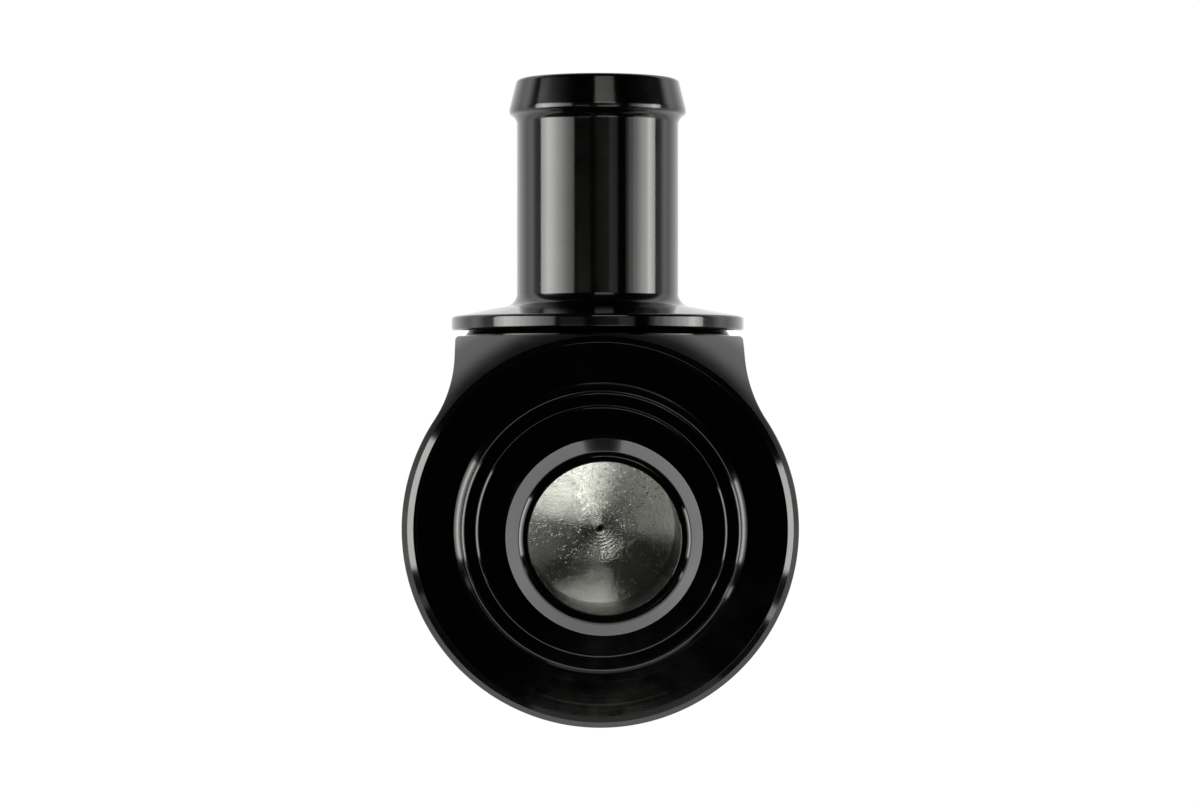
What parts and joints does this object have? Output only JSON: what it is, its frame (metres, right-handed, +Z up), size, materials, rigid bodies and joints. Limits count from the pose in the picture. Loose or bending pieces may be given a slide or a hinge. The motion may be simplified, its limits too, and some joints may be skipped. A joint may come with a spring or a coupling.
{
  "type": "blow off valve",
  "caption": "Piston blow off valve: round black body with a side boss, beaded inlet and outlet hose tails, a sprung piston, and a turning cap with a barbed nipple.",
  "frame": {"origin": "centre of the flat cap face that the valve stands on, on the valve axis", "axes": "+Z up along the valve axis, out of the inlet hose tail; +Y out of the outlet hose tail"},
  "size_m": [0.0474, 0.0793, 0.0912],
  "materials": {
    "black_anodised": "satin black anodised, turned and milled",
    "bare_aluminium": "bare, fine turned rings",
    "rubber": "moulded black rubber",
    "spring_steel": "spring steel, lightly oiled",
    "ptfe": "filled low-friction plastic",
    "brass": "turned brass"
  },
  "bodies": {
    "housing": {"valve_body": "black_anodised", "inlet_hose_tail": "black_anodised", "inlet_o_ring": "rubber", "outlet_hose_tail": "black_anodised", "outlet_o_ring": "rubber", "cap_retaining_ring": "spring_steel", "return_spring": "spring_steel"},
    "piston_group": {"piston": "bare_aluminium", "seat_o_ring": "rubber", "piston_o_ring": "rubber", "piston_guide_band": "ptfe"},
    "cap_group": {"cap": "black_anodised", "cap_o_ring": "rubber", "spring_seat_washer": "spring_steel", "vacuum_nipple": "brass", "nipple_sealing_washer": "bare_aluminium"}
  },
  "joints": [
    {"name": "piston_slide", "type": "slide", "parent": "housing", "child": "piston_group", "axis": [0, 0, -1], "range_m": [0, 0.0065], "stiffness_N_per_m": 2500, "springref_m": -0.0094, "deforming": ["return_spring"]},
    {"name": "cap_turn", "type": "hinge", "parent": "housing", "child": "cap_group", "pos_m": [0, 0, 0], "axis": [0, 0, 1], "continuous": true}
  ]
}
